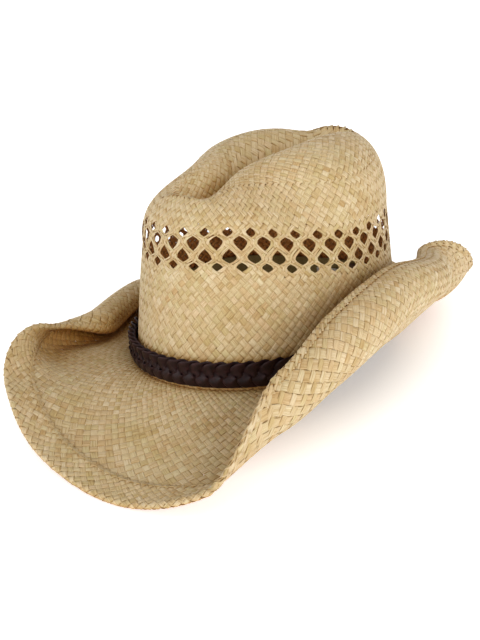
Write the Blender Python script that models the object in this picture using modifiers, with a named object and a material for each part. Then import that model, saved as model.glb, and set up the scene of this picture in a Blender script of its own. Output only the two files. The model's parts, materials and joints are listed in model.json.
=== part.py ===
"""A woven straw cowboy hat that rests on its brim, front towards -Y, wearer's left towards +X."""

import bmesh
import bpy
import numpy as np
from mathutils import Euler, Vector

# Crown, as half axes and heights above the headline, the line where crown and brim meet.
CROWN_HALF_X = 0.0855
CROWN_HALF_Y = 0.1015
WALL_H = 0.084
WALL_IN_SIDE = 0.008
WALL_IN_FRONT = 0.015
WALL_IN_BACK = 0.007
DOME_H = 0.056
DOME_POWER = 2.6
CROWN_T = 0.0016
CROWN_FOOT = 0.0018
HEAD_RISE = 0.0075
RISE_BACK = 0.26
LEVEL_Z = 0.055

# The cattleman crease: the crown slopes down to the front and holds a centre dent and two side dents.
TOP_SLOPE = 0.22
DENT_DEEP = 0.036
DENT_HALF_W = 0.020
DENT_FRONT_Y = -0.068
DENT_BACK_Y = 0.075
SIDE_DENT_IN = 0.015
SIDE_DENT_Y = -0.030
SIDE_DENT_Z = 0.114
SIDE_DENT_RY = 0.028
SIDE_DENT_RZ = 0.026

# Vents: four staggered rows of six-sided holes round the crown, higher at the front than at the back.
VENTS_ROUND = 34
VENT_ROW_Z = (0.0625, 0.0685, 0.0775, 0.0835)
VENT_ROW_RISE = (0.0170, 0.0185, 0.0210, 0.0225)
VENT_HALF_H = (0.0030, 0.0060, 0.0060, 0.0030)
VENT_HALF_W = (0.0030, 0.0044, 0.0044, 0.0030)
RISE_FROM = np.radians(25)
RISE_OVER = np.radians(80)
SPREAD = 0.065
VENT_EDGE = 0.0048
ZIGZAG = 0.0018

# Brim: width, run before the curl, slope and turn, at these angles round from the front to the left.
KEY_DEG = (0, 20, 35, 50, 65, 80, 100, 120, 140, 160, 180, 210, 235, 260, 285, 305, 325, 345)
BRIM_W = (86, 90, 92, 92, 90, 86, 80, 78, 80, 82, 84, 84, 82, 80, 84, 88, 84, 84)
BRIM_RUN = (26, 30, 42, 36, 32, 34, 38, 38, 32, 26, 26, 28, 30, 34, 34, 32, 54, 28)
BRIM_SLOPE = (-15, -25, -25, -10, 15, 35, 50, 45, 35, -5, -10, 0, -5, -15, 0, -5, 5, 0)
BRIM_TURN = (10, 15, 50, 160, 170, 160, 155, 165, 155, 65, 30, 65, 145, 215, 270, 300, 180, 20)
BREAK_R = 0.008
BREAK_START = 0.15
CURL_POWER = 1.15
BRIM_T = 0.0018
BRIM_GAP = 0.0003
PROFILE_STEPS = 60
BRIM_ROWS = (0, 0.07, 0.15, 0.28, 0.40, 0.52, 0.64, 0.76, 0.88, 1.0)

# Rim: a hem folded over the brim's top, holding a shaping wire past the brim's edge.
HEM_W = 0.015
HEM_T = 0.0010
HEM_GAP = 0.0011
HEM_TUCK = 0.003
HEM_BEVEL = 0.0008
WIRE_R = 0.0008
WIRE_OUT = 0.0012
WIRE_ROOM = 0.0006
THREAD_R = 0.0003
THREAD_IN = 0.0125
THREAD_UP = HEM_GAP + HEM_T + 0.0012 + THREAD_R

# Sweatband, with its reed at the foot.
SWEAT_H = 0.032
SWEAT_T = 0.0014
SWEAT_GAP = 0.0005
SWEAT_FOOT = -0.001
REED_R = 0.0014
REED_GAP = 0.0004
STITCH_Z = 0.0035
STITCH_GAP = 0.0003
PATCH_GAP = 0.0005
TAB_HALF_W = 0.006
TAB_LOW = 0.006
TAB_UNDER_TOP = 0.002
TAB_T = 0.0008
LABEL_T = 0.0004
LABEL_AT = np.pi + 0.30
LABEL_HALF_W = 0.014
LABEL_LOW = 0.008
LABEL_HIGH = 0.024

# Hatband: three leather strands in a flat braid, with a keeper over the joint at the back.
BRAID_Z = 0.0106
BRAID_SWING = 0.0060
BRAID_LIFT = 0.0021
BRAID_OUT = 0.0031
BRAID_PERIODS = 22
BRAID_STEPS = 6
BRAID_FLATNESS = 1.35
STRAND_W = 0.0043
STRAND_T = 0.0009
KEEPER_HALF_W = 0.007
KEEPER_T = 0.0012
KEEPER_HALF_H = 0.0086
KEEPER_IN = 0.0010
KEEPER_OUT = 0.0061

# How the hat sits on a table: turned until its brim touches at front and back, then lifted onto it.
REST_PITCH = np.radians(-3.404)
REST_LEAN = np.radians(-6.092)
REST_SHIFT = (0.008443, 0.000834, 0.017329)

STRAW_COLOUR = (0.62, 0.49, 0.30)
LEATHER_COLOUR = (0.05, 0.025, 0.018)

AROUND = 64
BRIM_AROUND = 96
CROWN_AROUND = 2 * VENTS_ROUND


def smooth_keys(values):
    """A smooth closed curve through one value per key angle, with no overshoot."""
    x = np.radians(KEY_DEG)
    n = len(x)
    x = np.concatenate([x - 2 * np.pi, x, x + 2 * np.pi])
    y = np.tile(np.asarray(values, float), 3)
    rise = np.diff(y) / np.diff(x)
    flat = rise[:-1] * rise[1:] <= 0
    safe = np.where(flat, 1.0, rise[:-1] + rise[1:])
    slope = np.zeros(3 * n)
    slope[1:-1] = np.where(flat, 0.0, 2 * rise[:-1] * rise[1:] / safe)

    def curve(t):
        t = np.mod(t, 2 * np.pi)
        i = np.searchsorted(x, t, side="right") - 1
        h = x[i + 1] - x[i]
        u = (t - x[i]) / h
        a = (1 + 2 * u) * (1 - u) ** 2 * y[i] + u * u * (3 - 2 * u) * y[i + 1]
        return a + h * u * (1 - u) * ((1 - u) * slope[i] - u * slope[i + 1])

    return curve


brim_w = smooth_keys(BRIM_W)
brim_run = smooth_keys(BRIM_RUN)
brim_slope = smooth_keys(BRIM_SLOPE)
brim_turn = smooth_keys(BRIM_TURN)


def headline_rise(t):
    """The line where crown and brim meet arches up at both sides, highest just behind the ears."""
    from_front = np.arccos(np.clip(np.cos(t), -1, 1))
    return HEAD_RISE * np.clip(np.sin(from_front - RISE_BACK), 0, 1) ** 6


def outward(t):
    """The headline ellipse's outward direction at each angle."""
    n = np.stack([np.sin(t) / CROWN_HALF_X, -np.cos(t) / CROWN_HALF_Y], -1)
    return n / np.linalg.norm(n, axis=-1, keepdims=True)


def off_headline(t, out, up):
    """Points at this distance out from the headline and this height above it."""
    base = np.stack([CROWN_HALF_X * np.sin(t), -CROWN_HALF_Y * np.cos(t)], -1)
    flat = base + outward(t) * np.asarray(out)[..., None]
    return np.concatenate([flat, (np.asarray(up) + headline_rise(t))[..., None]], -1)


def wall_in(t, z):
    """Half axes of the crown wall at this height."""
    k = np.clip(z / WALL_H, 0, 1)
    front = (1 + np.cos(t)) / 2
    half_x = CROWN_HALF_X - WALL_IN_SIDE * k
    half_y = CROWN_HALF_Y - (WALL_IN_FRONT * front + WALL_IN_BACK * (1 - front)) * k
    return half_x, half_y


def off_wall(t, out, up):
    """Points at this height, this far out from the crown wall. They keep clear as the wall leans in."""
    z = up + headline_rise(t)
    half_x, half_y = wall_in(t, z)
    flat = np.stack([half_x * np.sin(t), -half_y * np.cos(t)], -1)
    flat = flat + outward(t) * (np.asarray(out) + 0 * t)[..., None]
    return np.concatenate([flat, z[..., None]], -1)


def dented(x, y, z):
    """The blocked crown after its crease is pressed in."""
    top = np.clip((z - 0.6 * WALL_H) / (0.4 * WALL_H + DOME_H), 0, 1)
    z = z + TOP_SLOPE * y * top
    middle = (DENT_FRONT_Y + DENT_BACK_Y) / 2
    along = np.clip(1 - np.abs((y - middle) / (DENT_BACK_Y - middle)) ** 4, 0, 1)
    depth = np.clip((z - WALL_H) / (0.6 * DOME_H), 0, 1)
    z = z - DENT_DEEP * np.exp(-((x / DENT_HALF_W) ** 2)) * along * depth
    near = ((y - SIDE_DENT_Y) / SIDE_DENT_RY) ** 2 + ((z - SIDE_DENT_Z) / SIDE_DENT_RZ) ** 2
    x = x - np.sign(x) * SIDE_DENT_IN * np.exp(-near) * np.clip(np.abs(x) / 0.030, 0, 1)
    return np.stack([x, y, z], -1)


def crown_point(t, z):
    """The crown's outer surface. Its lowest rows follow the arch of the headline, and above WALL_H it rounds over."""
    q = np.clip((z - WALL_H) / DOME_H, 0, 1)
    shrink = (1 - q**DOME_POWER) ** (1 / DOME_POWER)
    z = z + headline_rise(t) * np.clip(1 - z / LEVEL_Z, 0, 1)
    half_x, half_y = wall_in(t, z)
    return dented(half_x * shrink * np.sin(t), -half_y * shrink * np.cos(t), z)


def brim_profile(t, along, above):
    """The brim at this run out from its inner edge, and this height above its top face, both in metres."""
    t, along = np.broadcast_arrays(np.asarray(t, float), np.asarray(along, float))
    width = brim_w(t)[..., None] / 1000
    run = brim_run(t)[..., None] / 1000
    u = (np.arange(PROFILE_STEPS) + 0.5) / PROFILE_STEPS * width
    curl = np.clip((u - run) / (width - run), 0, 1) ** CURL_POWER
    start = np.clip(BREAK_START + (1 - BREAK_START) * u / BREAK_R, 0, 1)
    angle = np.radians(brim_slope(t)[..., None] * start + brim_turn(t)[..., None] * curl)
    step = width / PROFILE_STEPS
    out = np.concatenate([0 * width, np.cumsum(np.cos(angle) * step, -1)], -1)
    up = np.concatenate([0 * width, np.cumsum(np.sin(angle) * step, -1)], -1)
    place = np.clip(along / step[..., 0], 0, PROFILE_STEPS)
    i = np.minimum(place.astype(int), PROFILE_STEPS - 1)[..., None]
    f = place[..., None] - i
    pick = np.take_along_axis
    a = pick(angle, i, -1)[..., 0]
    past = np.maximum(along - width[..., 0], 0)
    d = (pick(out, i, -1) * (1 - f) + pick(out, i + 1, -1) * f)[..., 0] + past * np.cos(a)
    z = (pick(up, i, -1) * (1 - f) + pick(up, i + 1, -1) * f)[..., 0] + past * np.sin(a)
    return off_headline(t, BRIM_GAP + d - above * np.sin(a), z + above * np.cos(a))


def new_object(name, points, faces, colour, roughness):
    """A mesh object with its own material, set in the hat's resting place."""
    mesh = bpy.data.meshes.new(name)
    mesh.from_pydata([tuple(p) for p in points], [], faces)
    mesh.validate()
    obj = bpy.data.objects.new(name, mesh)
    HAT.objects.link(obj)
    material = bpy.data.materials.new(name)
    material.use_nodes = True
    shader = material.node_tree.nodes["Principled BSDF"]
    shader.inputs["Base Color"].default_value = (*colour, 1)
    shader.inputs["Roughness"].default_value = roughness
    mesh.materials.append(material)
    obj.rotation_euler = Euler((REST_PITCH, REST_LEAN, 0))
    obj.location = Vector(REST_SHIFT)
    return obj


def face_outwards(obj):
    body = bmesh.new()
    body.from_mesh(obj.data)
    bmesh.ops.recalc_face_normals(body, faces=body.faces)
    body.to_mesh(obj.data)
    body.free()


def thicken(obj, thickness):
    """Gives an open sheet its thickness on the side away from its normals."""
    solid = obj.modifiers.new("thickness", "SOLIDIFY")
    solid.thickness = thickness
    solid.offset = -1
    solid.use_even_offset = False


def ring(name, sections, colour, roughness, closed=True, order=None):
    """A solid swept through sections of equal point lists. Faces that lie over each other split alike by order."""
    sections = np.asarray(sections)
    count, corners = sections.shape[:2]
    spans = count if closed else count - 1
    faces = []
    for i in range(spans):
        a, b = i * corners, (i + 1) % count * corners
        for j in range(corners):
            k = (j + 1) % corners
            if order is None or order[k] >= order[j]:
                faces += [(a + j, a + k, b + k), (a + j, b + k, b + j)]
            else:
                faces += [(a + j, a + k, b + j), (a + k, b + k, b + j)]
    if not closed:
        faces.append(tuple(range(corners)))
        faces.append(tuple((count - 1) * corners + j for j in range(corners)))
    obj = new_object(name, sections.reshape(-1, 3), faces, colour, roughness)
    face_outwards(obj)
    return obj


def turns(count):
    return np.arange(count) / count * 2 * np.pi


def spread(t):
    """Even steps round the oval crown, as steps of its angle."""
    return t + SPREAD * np.sin(2 * t)


def vent_height(t, z):
    """The height of a line round the vents, from its height at the back."""
    rise = np.interp(z, VENT_ROW_Z, VENT_ROW_RISE)
    from_front = np.arccos(np.clip(np.cos(t), -1, 1))
    return z + rise * (1 + np.cos(np.pi * np.clip((from_front - RISE_FROM) / RISE_OVER, 0, 1))) / 2


def make_crown():
    """An open sheet with a honeycomb of vents in its wall, then thickened inwards."""
    points, faces = [], []

    def add(new):
        first = len(points)
        points.extend(new)
        return list(range(first, len(points)))

    def strip(low, high):
        for i in range(len(low)):
            k = (i + 1) % len(low)
            faces.append((low[i], low[k], high[k], high[i]))

    even = turns(CROWN_AROUND)
    t = spread(even)
    foot = add(crown_point(t, -CROWN_FOOT + 0 * t))
    for share in (0.3, 0.65):
        row = add(crown_point(t, share * vent_height(t, VENT_ROW_Z[0])))
        strip(foot, row)
        foot = row
    # Zigzags run between the vent rows. Each has a corner over or under every vent.
    gaps = [VENT_ROW_Z[0] - VENT_EDGE]
    gaps += [(a + b) / 2 for a, b in zip(VENT_ROW_Z[:-1], VENT_ROW_Z[1:])]
    gaps += [VENT_ROW_Z[-1] + VENT_EDGE]
    lines = []
    for k, z in enumerate(gaps):
        swing = ZIGZAG * (-1) ** (np.arange(CROWN_AROUND) + k)
        lines.append(add(crown_point(t, vent_height(t, z) + swing)))
    strip(foot, lines[0])
    for k, z in enumerate(VENT_ROW_Z):
        low, high = lines[k], lines[k + 1]
        for c in range(VENTS_ROUND):
            m = 2 * c + (k + 1) % 2
            w = VENT_HALF_W[k] / (CROWN_HALF_X + CROWN_HALF_Y) * 2
            h = VENT_HALF_H[k]
            at = spread(np.array([0, w, w, 0, -w, -w]) + even[m])
            up = np.array([h, h / 2, -h / 2, -h, -h / 2, h / 2]) + vent_height(at, z)
            hole = add(crown_point(at, up))
            left, right = (m - 1) % CROWN_AROUND, (m + 1) % CROWN_AROUND
            outer = [high[m], high[right], low[right], low[m], low[left], high[left]]
            for j in range(6):
                n = (j + 1) % 6
                faces.append((outer[n], outer[j], hole[j], hole[n]))
    top = lines[-1]
    start = vent_height(t, VENT_ROW_Z[-1] + VENT_EDGE)
    for share in (0.3, 0.55, 0.75, 0.88, 0.95, 0.985):
        row = add(crown_point(t, start + (WALL_H + DOME_H - start) * share))
        strip(top, row)
        top = row
    middle = add(crown_point(np.array([0.0]), np.array([WALL_H + DOME_H])))[0]
    for i in range(CROWN_AROUND):
        faces.append((top[i], top[(i + 1) % CROWN_AROUND], middle))
    crown = new_object("crown", points, faces, STRAW_COLOUR, 0.6)
    face_outwards(crown)
    thicken(crown, CROWN_T)


def make_brim():
    """The brim sheet, from the headline to the wire at its rim."""
    t = turns(BRIM_AROUND)
    w = brim_w(t) / 1000
    runs = [share * (w - HEM_W) for share in BRIM_ROWS] + [w - HEM_W / 2, w]
    top = [brim_profile(t, run, 0 * t) for run in runs]
    below = [brim_profile(t, run, -BRIM_T + 0 * t) for run in runs]
    order = list(range(len(runs))) + list(range(len(runs)))[::-1]
    ring("brim", np.stack(top + below[::-1], 1), STRAW_COLOUR, 0.6, order=order)


def rim_tube(name, inside, above, radius, sides, colour, roughness):
    """A round ring that follows the rim, this far in from the brim's edge."""
    t = turns(BRIM_AROUND)
    w = brim_w(t) / 1000
    rows = []
    for a in turns(sides):
        rows.append(brim_profile(t, w - inside + radius * np.cos(a), above + radius * np.sin(a)))
    return ring(name, np.stack(rows, 1), colour, roughness)


def make_hem():
    """The hem's section runs along the brim's top, round the wire and a little way back below."""
    t = turns(BRIM_AROUND)
    w = brim_w(t) / 1000
    low = HEM_GAP
    high = low + HEM_T
    mid = -BRIM_T / 2
    inner = WIRE_OUT + WIRE_R + WIRE_ROOM
    outer = inner + HEM_T
    under = -BRIM_T - HEM_GAP
    section = (
        (-HEM_W, low), (-HEM_W, high), (-HEM_W / 2, high), (inner, high),
        (outer, high - HEM_BEVEL), (outer, mid),
        (outer, under - HEM_T + HEM_BEVEL), (inner, under - HEM_T), (-HEM_TUCK, under - HEM_T),
        (-HEM_TUCK, under), (inner, under), (inner, low), (-HEM_W / 2, low),
    )
    rows = [brim_profile(t, w + x, y) for x, y in section]
    ring("brim_hem", np.stack(rows, 1), (0.66, 0.53, 0.33), 0.6, order=[x for x, _ in section])


def headline_ring(name, section, colour, roughness):
    """A ring round the head whose outline is given as distance out and height."""
    t = turns(AROUND)
    ring(name, np.stack([off_wall(t, x, y) for x, y in section], 1), colour, roughness)


def patch(name, middle, half_w, section, colour, roughness):
    """A short length of such a ring, to either side of the middle angle."""
    t = middle + np.linspace(-1, 1, 5) * half_w / CROWN_HALF_Y
    rows = np.stack([off_wall(t, x, y) for x, y in section], 1)
    ring(name, rows, colour, roughness, closed=False)


def make_sweatband():
    """The band follows the crown wall, and its reed lies under the wall's edge."""
    face = -CROWN_T - SWEAT_GAP
    inside = face - SWEAT_T
    section = ((inside, SWEAT_FOOT), (face, SWEAT_FOOT), (face, SWEAT_H), (inside, SWEAT_H))
    headline_ring("sweatband", section, (0.80, 0.76, 0.68), 0.85)
    middle = -CROWN_FOOT - REED_GAP - REED_R
    round_section = [
        (face - SWEAT_T / 2 + REED_R * np.cos(a), middle + REED_R * np.sin(a)) for a in turns(6)
    ]
    headline_ring("sweatband_reed", round_section, (0.72, 0.66, 0.55), 0.7)
    stitch_x = inside - STITCH_GAP - THREAD_R
    stitch = [
        (stitch_x + THREAD_R * np.cos(a), STITCH_Z + THREAD_R * np.sin(a)) for a in turns(4)
    ]
    headline_ring("sweatband_thread", stitch, (0.55, 0.44, 0.28), 0.8)

    def leaf(low, high, thick):
        near = inside - PATCH_GAP
        return ((near - thick, low), (near, low), (near, high), (near - thick, high))

    tab = leaf(TAB_LOW, SWEAT_H - TAB_UNDER_TOP, TAB_T)
    patch("sweatband_seam_tab", np.pi, TAB_HALF_W, tab, (0.30, 0.22, 0.14), 0.7)
    label = leaf(LABEL_LOW, LABEL_HIGH, LABEL_T)
    patch("size_label", LABEL_AT, LABEL_HALF_W, label, (0.85, 0.84, 0.80), 0.8)


def make_hatband():
    """Three flat strands cross from edge to edge and pass over and under each other."""
    count = BRAID_PERIODS * BRAID_STEPS
    t = turns(count)
    edge = (CROWN_HALF_X + CROWN_HALF_Y) / 2
    for number in range(3):
        phase = BRAID_PERIODS * t + number * 2 * np.pi / 3 + np.pi / 6
        height = BRAID_Z + BRAID_SWING * np.sin(phase)
        climb = BRAID_SWING * np.cos(phase) * BRAID_PERIODS / edge
        lift = BRAID_OUT + BRAID_LIFT * np.clip(BRAID_FLATNESS * np.sin(2 * phase), -1, 1)
        long = 1 / np.sqrt(1 + climb**2)
        rows = []
        for side, face in ((-1, -1), (1, -1), (1, 1), (-1, 1)):
            along = -side * STRAND_W / 2 * climb * long / edge
            rows.append(
                off_wall(t + along, lift + face * STRAND_T / 2, height + side * STRAND_W / 2 * long)
            )
        ring(f"hatband_strand_{number + 1}", np.stack(rows, 1), LEATHER_COLOUR, 0.45)
    back = KEEPER_OUT + KEEPER_T
    low, high = BRAID_Z - KEEPER_HALF_H, BRAID_Z + KEEPER_HALF_H
    section = (
        (KEEPER_IN, low - KEEPER_T), (back, low - KEEPER_T), (back, high + KEEPER_T),
        (KEEPER_IN, high + KEEPER_T), (KEEPER_IN, high), (KEEPER_OUT, high),
        (KEEPER_OUT, low), (KEEPER_IN, low),
    )
    patch("hatband_keeper", np.pi, KEEPER_HALF_W, section, LEATHER_COLOUR, 0.45)


for old in list(bpy.data.objects):
    bpy.data.objects.remove(old)
HAT = bpy.data.collections.new("straw_cowboy_hat")
bpy.context.scene.collection.children.link(HAT)

make_crown()
make_brim()
make_hem()
rim_tube("brim_wire", -WIRE_OUT, -BRIM_T / 2, WIRE_R, 5, (0.45, 0.45, 0.47), 0.35)
rim_tube("hem_thread", THREAD_IN, THREAD_UP, THREAD_R, 4, (0.60, 0.48, 0.30), 0.8)
make_sweatband()
make_hatband()
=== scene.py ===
"""The look of the straw cowboy hat: every surface is woven from single straws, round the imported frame."""

import json

import bpy
import numpy as np
from mathutils import Euler, Matrix, Vector


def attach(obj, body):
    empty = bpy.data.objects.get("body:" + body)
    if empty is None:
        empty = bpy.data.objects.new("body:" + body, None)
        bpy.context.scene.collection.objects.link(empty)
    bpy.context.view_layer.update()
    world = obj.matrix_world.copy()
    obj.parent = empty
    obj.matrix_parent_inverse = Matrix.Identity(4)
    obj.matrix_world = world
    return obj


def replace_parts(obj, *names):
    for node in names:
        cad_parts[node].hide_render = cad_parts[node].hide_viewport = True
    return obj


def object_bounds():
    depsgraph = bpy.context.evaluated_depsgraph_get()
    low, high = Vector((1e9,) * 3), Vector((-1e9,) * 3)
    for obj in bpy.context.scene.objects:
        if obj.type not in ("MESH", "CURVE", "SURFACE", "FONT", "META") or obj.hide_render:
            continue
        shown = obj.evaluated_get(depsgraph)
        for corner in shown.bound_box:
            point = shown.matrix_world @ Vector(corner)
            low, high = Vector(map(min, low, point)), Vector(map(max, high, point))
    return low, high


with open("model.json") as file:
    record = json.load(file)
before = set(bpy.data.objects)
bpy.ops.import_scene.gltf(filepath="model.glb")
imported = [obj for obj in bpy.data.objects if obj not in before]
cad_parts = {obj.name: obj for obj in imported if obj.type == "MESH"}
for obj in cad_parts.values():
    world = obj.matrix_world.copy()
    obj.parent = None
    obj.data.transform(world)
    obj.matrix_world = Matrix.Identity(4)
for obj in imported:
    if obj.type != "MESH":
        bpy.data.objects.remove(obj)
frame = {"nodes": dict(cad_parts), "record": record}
CAD_BOX = [list(corner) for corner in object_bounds()]
rng = np.random.default_rng(7)

# The hat's own shape, in metres, as in the CAD source. The brim's sizes are in millimetres and degrees, one
# for each of KEY_DEG, the angles round from the front towards the wearer's left.
CROWN_HALF_X = 0.0855
CROWN_HALF_Y = 0.1015
WALL_H = 0.084
WALL_IN_SIDE = 0.008
WALL_IN_FRONT = 0.015
WALL_IN_BACK = 0.007
DOME_H = 0.056
DOME_POWER = 2.6
CROWN_T = 0.0016
HEAD_RISE = 0.0075
RISE_BACK = 0.26
LEVEL_Z = 0.055
TOP_SLOPE = 0.22
DENT_DEEP = 0.036
DENT_HALF_W = 0.020
DENT_FRONT_Y = -0.068
DENT_BACK_Y = 0.075
SIDE_DENT_IN = 0.015
SIDE_DENT_Y = -0.030
SIDE_DENT_Z = 0.114
SIDE_DENT_RY = 0.028
SIDE_DENT_RZ = 0.026
VENT_ROW_Z = (0.0625, 0.0685, 0.0775, 0.0835)
VENT_ROW_RISE = (0.0170, 0.0185, 0.0210, 0.0225)
RISE_FROM = np.radians(25)
RISE_OVER = np.radians(80)
SPREAD = 0.065
KEY_DEG = (0, 20, 35, 50, 65, 80, 100, 120, 140, 160, 180, 210, 235, 260, 285, 305, 325, 345)
BRIM_W = (86, 90, 92, 92, 90, 86, 80, 78, 80, 82, 84, 84, 82, 80, 84, 88, 84, 84)
BRIM_RUN = (26, 30, 42, 36, 32, 34, 38, 38, 32, 26, 26, 28, 30, 34, 34, 32, 54, 28)
BRIM_SLOPE = (-15, -25, -25, -10, 15, 35, 50, 45, 35, -5, -10, 0, -5, -15, 0, -5, 5, 0)
BRIM_TURN = (10, 15, 50, 160, 170, 160, 155, 165, 155, 65, 30, 65, 145, 215, 270, 300, 180, 20)
BREAK_R = 0.008
BREAK_START = 0.15
CURL_POWER = 1.15
BRIM_T = 0.0018
BRIM_GAP = 0.0003
PROFILE_STEPS = 60
HEM_W = 0.015
HEM_TUCK = 0.0030
WIRE_OUT = 0.0012
THREAD_IN = 0.0125
SWEAT_H = 0.032
SWEAT_T = 0.0014
SWEAT_GAP = 0.0005
STITCH_Z = 0.0035
BRAID_PERIODS = 22
KEEPER_HALF_W = 0.007
KEEPER_T = 0.0012
KEEPER_OUT = 0.0061
REST_PITCH = np.radians(-3.404)
REST_LEAN = np.radians(-6.092)

# The weave. Counts are straws of each diagonal family round the crown, the brim and the hem. In one row a
# straw crosses two others. The crown is EDGE_S rows tall up to its tip, a rectangle of TIP_W by TIP_H straws.
# The brim's rows widen outwards. A straw varies at random in its path, its width and its rise and fall.
CROWN_STRAWS = 102
EDGE_S = 22
TIP_W = 25
TIP_H = 26
BRIM_STRAWS = 150
HEM_STRAWS = 210
BRIM_ROWS = 16
HEM_ROWS = 6
ROW_WIDEN = 0.2
STRAW_T = 0.00044
STRAW_RISE = 0.00026
RISE_UNEVEN = 0.12
STRAW_FILL = 0.985
STRAW_SINK = 0.0008
STRAW_WANDER = 0.00014
SWELL_ALONG = 0.06
SWELL_EACH = 0.02
SWELL_LEAST = 0.80
SWELL_MOST = 1.05
GRIPPED_SWELL = 0.16

# The crown's rows of vents, the rows between which the straws are drawn together in threes, how hard, and how
# far the bundles sway. The straws' feet are FOOT_UP high, and the tip's edge is TIP_DOWN from the last vents.
ROW_S = (12, 13.5, 15, 16.5)
VENT_FROM = 10.6
VENT_TO = 17.9
VENT_EASE = 2.2
VENT_PINCH = 0.57
VENT_SWAY = 0.17
SETTLE_ROUNDS = 40
FOOT_UP = -0.001
ROW_PAST = 0.012
TIP_DOWN = 0.032
DOME_STEPS = 40

# Painted shade: the straws' inner side inside the crown is painted darker and warmer, up to this height,
# standing in for the light that comes through the straw and bounces inside.
PAINTED_INNER_TOP = 0.095
PAINTED_INNER_FADE = 0.020

# The hem's curve round the wire, how its two edges ease onto the brim, how high its stitches lie on it, and
# the samples of one stitch.
HEM_ROUND = 0.0017
HEM_EDGE = 0.0025
HEM_DROP = 0.0009
TUCK_EDGE = 0.002
TUCK_CLOSE = 0.0008
HEM_STITCH_UP = 0.0001
STITCH_STEPS = 7

# The braid's straps, which are wider than the CAD strands, and the loop over their joint: its half height,
# how near the wall it lies, and how square its corners are.
BRAID_Z = 0.0100
STRAP_W = 0.0098
STRAP_T = 0.0015
STRAP_SWING = 0.0051
STRAP_OUT = 0.0032
STRAP_LIFT = 0.0014
STRAP_TILT = 0.30
STRAP_STEPS = 26
KEEPER_HALF_H = 0.0094
KEEPER_NEAR = 0.0012
KEEPER_BACK = 0.0009
KEEPER_SQUARE = 0.45
KEEPER_SHRINK_OUT = 0.94
KEEPER_SHRINK_UP = 0.97
KEEPER_STEPS = 49

# The sweatband's cloth: how far its folded edges swell and how far they reach, the steps round it, and the
# radius at which its yarns are spaced.
CLOTH_SWELL = 0.00025
CLOTH_REACH = 0.0016
CLOTH_STEPS = 160
BAND_R = 0.09

# Sections of the straws and the straps, as (across, up), thin at the sides and fuller between them.
STRAW_5 = ((-1, 0), (0, -1), (1, 0), (0.84, 0.8), (-0.84, 0.8))
STRAW_6 = ((-1, 0), (-0.8, -0.8), (0.8, -0.8), (1, 0), (0.8, 0.8), (-0.8, 0.8))
STRAP = (
    (-1, 0), (-0.88, -0.75), (0, -1), (0.88, -0.75), (1, 0),
    (0.93, 0.5), (0.72, 0.82), (0.36, 0.98), (0, 1), (-0.36, 0.98), (-0.72, 0.82), (-0.93, 0.5),
)

# The camera, set in the hat's own frame: angle round from the front, height, roll, distance, lens and shift.
CAMERA_AROUND = np.radians(47)
CAMERA_UP = np.radians(20.5)
CAMERA_ROLL = np.radians(-3.5)
CAMERA_FAR = 0.570
CAMERA_LENS = 44.25
SHIFT_X = -0.0484
SHIFT_Y = 0.0219

# The straw's overall brightness, the painted warm shade of its inner side, and how far away a fold's other
# side counts for the painted shade in folds.
STRAW_BRIGHT = (0.95, 0.95, 0.925)
PAINTED_INNER_SHADE = (1.0, 0.60, 0.31)
PAINTED_FOLD_REACH = 0.045
WHITE = (1.0, 1.0, 1.0)

# The floor's half side, how its painted glow fades in with x and y, per metre, and the point that the lights
# face.
FLOOR_HALF = 6.0
GLOW_X = 4.5
GLOW_Y = 3.3
LIGHT_AIM = (0, 0, 0.08)


def smooth_keys(values):
    """A smooth closed curve through one value per key angle, with no overshoot."""
    x = np.radians(KEY_DEG)
    n = len(x)
    x = np.concatenate([x - 2 * np.pi, x, x + 2 * np.pi])
    y = np.tile(np.asarray(values, float), 3)
    rise = np.diff(y) / np.diff(x)
    flat = rise[:-1] * rise[1:] <= 0
    safe = np.where(flat, 1.0, rise[:-1] + rise[1:])
    slope = np.zeros(3 * n)
    slope[1:-1] = np.where(flat, 0.0, 2 * rise[:-1] * rise[1:] / safe)

    def curve(t):
        t = np.mod(t, 2 * np.pi)
        i = np.searchsorted(x, t, side="right") - 1
        h = x[i + 1] - x[i]
        u = (t - x[i]) / h
        a = (1 + 2 * u) * (1 - u) ** 2 * y[i] + u * u * (3 - 2 * u) * y[i + 1]
        return a + h * u * (1 - u) * ((1 - u) * slope[i] - u * slope[i + 1])

    return curve


brim_w = smooth_keys(BRIM_W)
brim_run = smooth_keys(BRIM_RUN)
brim_slope = smooth_keys(BRIM_SLOPE)
brim_turn = smooth_keys(BRIM_TURN)


def headline_rise(t):
    """The line where crown and brim meet arches up at both sides, highest just behind the ears."""
    from_front = np.arccos(np.clip(np.cos(t), -1, 1))
    return HEAD_RISE * np.clip(np.sin(from_front - RISE_BACK), 0, 1) ** 6


def outward(t):
    """The headline ellipse's outward direction at each angle."""
    n = np.stack([np.sin(t) / CROWN_HALF_X, -np.cos(t) / CROWN_HALF_Y], -1)
    return n / np.linalg.norm(n, axis=-1, keepdims=True)


def off_headline(t, out, up):
    """Points at this distance out from the headline and this height above it."""
    base = np.stack([CROWN_HALF_X * np.sin(t), -CROWN_HALF_Y * np.cos(t)], -1)
    flat = base + outward(t) * np.asarray(out)[..., None]
    return np.concatenate([flat, (np.asarray(up) + headline_rise(t))[..., None]], -1)


def wall_in(t, z):
    """Half axes of the crown wall at this height."""
    k = np.clip(z / WALL_H, 0, 1)
    front = (1 + np.cos(t)) / 2
    half_x = CROWN_HALF_X - WALL_IN_SIDE * k
    half_y = CROWN_HALF_Y - (WALL_IN_FRONT * front + WALL_IN_BACK * (1 - front)) * k
    return half_x, half_y


def off_wall(t, out, up):
    """Points at this height, this far out from the crown wall. They keep clear as the wall leans in."""
    z = up + headline_rise(t)
    half_x, half_y = wall_in(t, z)
    flat = np.stack([half_x * np.sin(t), -half_y * np.cos(t)], -1)
    flat = flat + outward(t) * (np.asarray(out) + 0 * t)[..., None]
    return np.concatenate([flat, z[..., None]], -1)


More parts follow.
